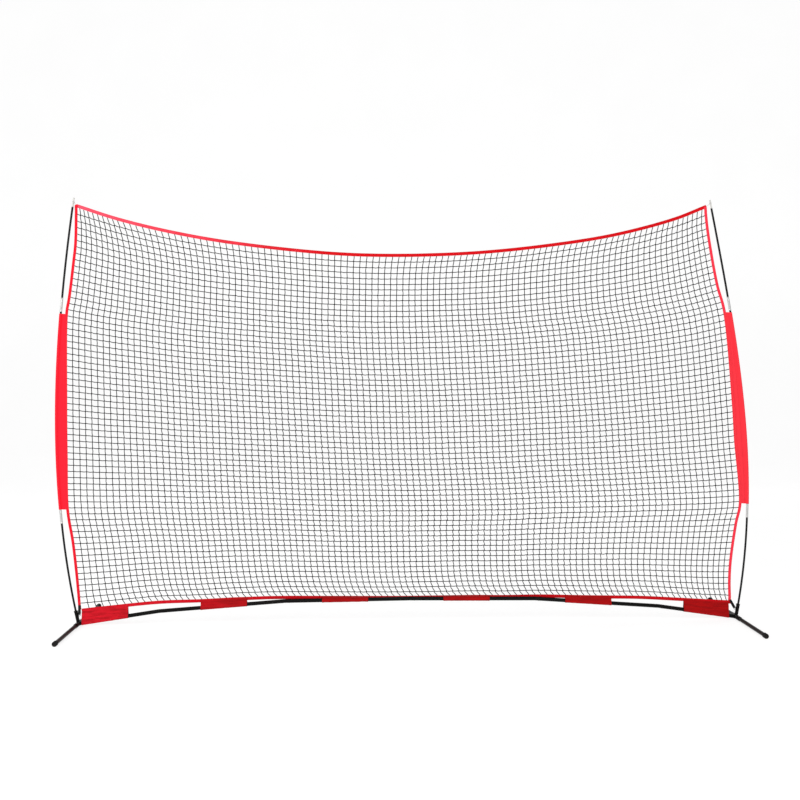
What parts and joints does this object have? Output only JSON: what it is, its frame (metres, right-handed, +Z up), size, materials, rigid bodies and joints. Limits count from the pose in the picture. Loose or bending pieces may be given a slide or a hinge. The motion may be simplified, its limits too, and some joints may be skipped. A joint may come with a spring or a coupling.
{
  "type": "barrier net",
  "caption": "Free-standing black knotted barrier net with red hems, hung between two bowed poles on a plug-in tube base with crossing legs.",
  "frame": {"origin": "on the ground, below the middle of the whole outline; the poles sway to the left, so the hubs' midpoint is 30.7 mm to its right", "axes": "+X along the base bar to the right hub, +Y to the back, +Z up"},
  "size_m": [5.1282, 1.274, 3.1356],
  "materials": {
    "steel_tube": "black powder coat, satin",
    "rubber_cap": "moulded, matt",
    "button": "zinc plated",
    "fibreglass": "black resin over glass fibre, satin",
    "ferrule": "satin drawn tube",
    "tip_plastic": "pale moulded plastic",
    "elastic": "braided elastic cord",
    "twine": "black knotted polyethylene twine",
    "hem_tape": "woven polyester binding tape",
    "side_sleeve_fabric": "bright red woven polyester",
    "base_sleeve_fabric": "deep red woven polyester",
    "webbing": "black woven webbing"
  },
  "bodies": {
    "stand_and_net": {"hub_left": "steel_tube", "hub_right": "steel_tube", "base_tube_1": "steel_tube", "base_tube_2": "steel_tube", "base_tube_3": "steel_tube", "base_tube_4": "steel_tube", "pole_left_1": "fibreglass", "pole_left_2": "fibreglass", "pole_left_3": "fibreglass", "pole_left_4": "fibreglass", "pole_right_1": "fibreglass", "pole_right_2": "fibreglass", "pole_right_3": "fibreglass", "pole_right_4": "fibreglass", "pole_ferrule_left_1": "ferrule", "pole_ferrule_left_2": "ferrule", "pole_ferrule_left_3": "ferrule", "pole_ferrule_right_1": "ferrule", "pole_ferrule_right_2": "ferrule", "pole_ferrule_right_3": "ferrule", "pole_tip_left": "tip_plastic", "pole_tip_right": "tip_plastic", "shock_cord_left": "elastic", "shock_cord_right": "elastic", "net_panel": "twine", "top_hem": "hem_tape", "bottom_hem": "hem_tape", "left_hem": "hem_tape", "right_hem": "hem_tape", "side_sleeve_left": "side_sleeve_fabric", "side_sleeve_right": "side_sleeve_fabric", "base_sleeve_1": "base_sleeve_fabric", "base_sleeve_2": "base_sleeve_fabric", "base_sleeve_3": "base_sleeve_fabric", "base_sleeve_4": "base_sleeve_fabric", "base_sleeve_5": "base_sleeve_fabric", "base_sleeve_6": "base_sleeve_fabric", "corner_strap_left": "webbing", "corner_strap_right": "webbing", "corner_loop_left": "elastic", "corner_loop_right": "elastic"},
    "front_left_leg": {"leg_front_left": "steel_tube", "foot_cap_front_left": "rubber_cap"},
    "front_left_leg_button": {"leg_button_front_left": "button"},
    "rear_left_leg": {"leg_rear_left": "steel_tube", "foot_cap_rear_left": "rubber_cap"},
    "rear_left_leg_button": {"leg_button_rear_left": "button"},
    "front_right_leg": {"leg_front_right": "steel_tube", "foot_cap_front_right": "rubber_cap"},
    "front_right_leg_button": {"leg_button_front_right": "button"},
    "rear_right_leg": {"leg_rear_right": "steel_tube", "foot_cap_rear_right": "rubber_cap"},
    "rear_right_leg_button": {"leg_button_rear_right": "button"},
    "bar_button_1": {"bar_button_1": "button"},
    "bar_button_2": {"bar_button_2": "button"},
    "bar_button_3": {"bar_button_3": "button"},
    "bar_button_4": {"bar_button_4": "button"},
    "bar_button_5": {"bar_button_5": "button"}
  },
  "joints": [
    {"name": "front_left_leg_pull_out", "type": "slide", "parent": "stand_and_net", "child": "front_left_leg", "axis": [0, -1, 0], "range_m": [0, 0.1], "deforming": ["leg_button_front_left"]},
    {"name": "front_left_leg_button_press", "type": "slide", "parent": "front_left_leg", "child": "front_left_leg_button", "axis": [0, 0, -1], "range_m": [0, 0.0045], "stiffness_N_per_m": 600, "springref_m": -0.001},
    {"name": "rear_left_leg_pull_out", "type": "slide", "parent": "stand_and_net", "child": "rear_left_leg", "axis": [0, 1, 0], "range_m": [0, 0.1], "deforming": ["leg_button_rear_left"]},
    {"name": "rear_left_leg_button_press", "type": "slide", "parent": "rear_left_leg", "child": "rear_left_leg_button", "axis": [0, 0, -1], "range_m": [0, 0.0045], "stiffness_N_per_m": 600, "springref_m": -0.001},
    {"name": "front_right_leg_pull_out", "type": "slide", "parent": "stand_and_net", "child": "front_right_leg", "axis": [0, -1, 0], "range_m": [0, 0.1], "deforming": ["leg_button_front_right"]},
    {"name": "front_right_leg_button_press", "type": "slide", "parent": "front_right_leg", "child": "front_right_leg_button", "axis": [0, 0, -1], "range_m": [0, 0.0045], "stiffness_N_per_m": 600, "springref_m": -0.001},
    {"name": "rear_right_leg_pull_out", "type": "slide", "parent": "stand_and_net", "child": "rear_right_leg", "axis": [0, 1, 0], "range_m": [0, 0.1], "deforming": ["leg_button_rear_right"]},
    {"name": "rear_right_leg_button_press", "type": "slide", "parent": "rear_right_leg", "child": "rear_right_leg_button", "axis": [0, 0, -1], "range_m": [0, 0.0045], "stiffness_N_per_m": 600, "springref_m": -0.001},
    {"name": "bar_button_1_press", "type": "slide", "parent": "stand_and_net", "child": "bar_button_1", "axis": [0, 0, 1], "range_m": [0, 0.0042], "stiffness_N_per_m": 600, "springref_m": -0.001},
    {"name": "bar_button_2_press", "type": "slide", "parent": "stand_and_net", "child": "bar_button_2", "axis": [0, 0, 1], "range_m": [0, 0.0042], "stiffness_N_per_m": 600, "springref_m": -0.001},
    {"name": "bar_button_3_press", "type": "slide", "parent": "stand_and_net", "child": "bar_button_3", "axis": [0, 0, 1], "range_m": [0, 0.0042], "stiffness_N_per_m": 600, "springref_m": -0.001},
    {"name": "bar_button_4_press", "type": "slide", "parent": "stand_and_net", "child": "bar_button_4", "axis": [0, 0, 1], "range_m": [0, 0.0042], "stiffness_N_per_m": 600, "springref_m": -0.001},
    {"name": "bar_button_5_press", "type": "slide", "parent": "stand_and_net", "child": "bar_button_5", "axis": [0, 0, 1], "range_m": [0, 0.0042], "stiffness_N_per_m": 600, "springref_m": -0.001}
  ]
}
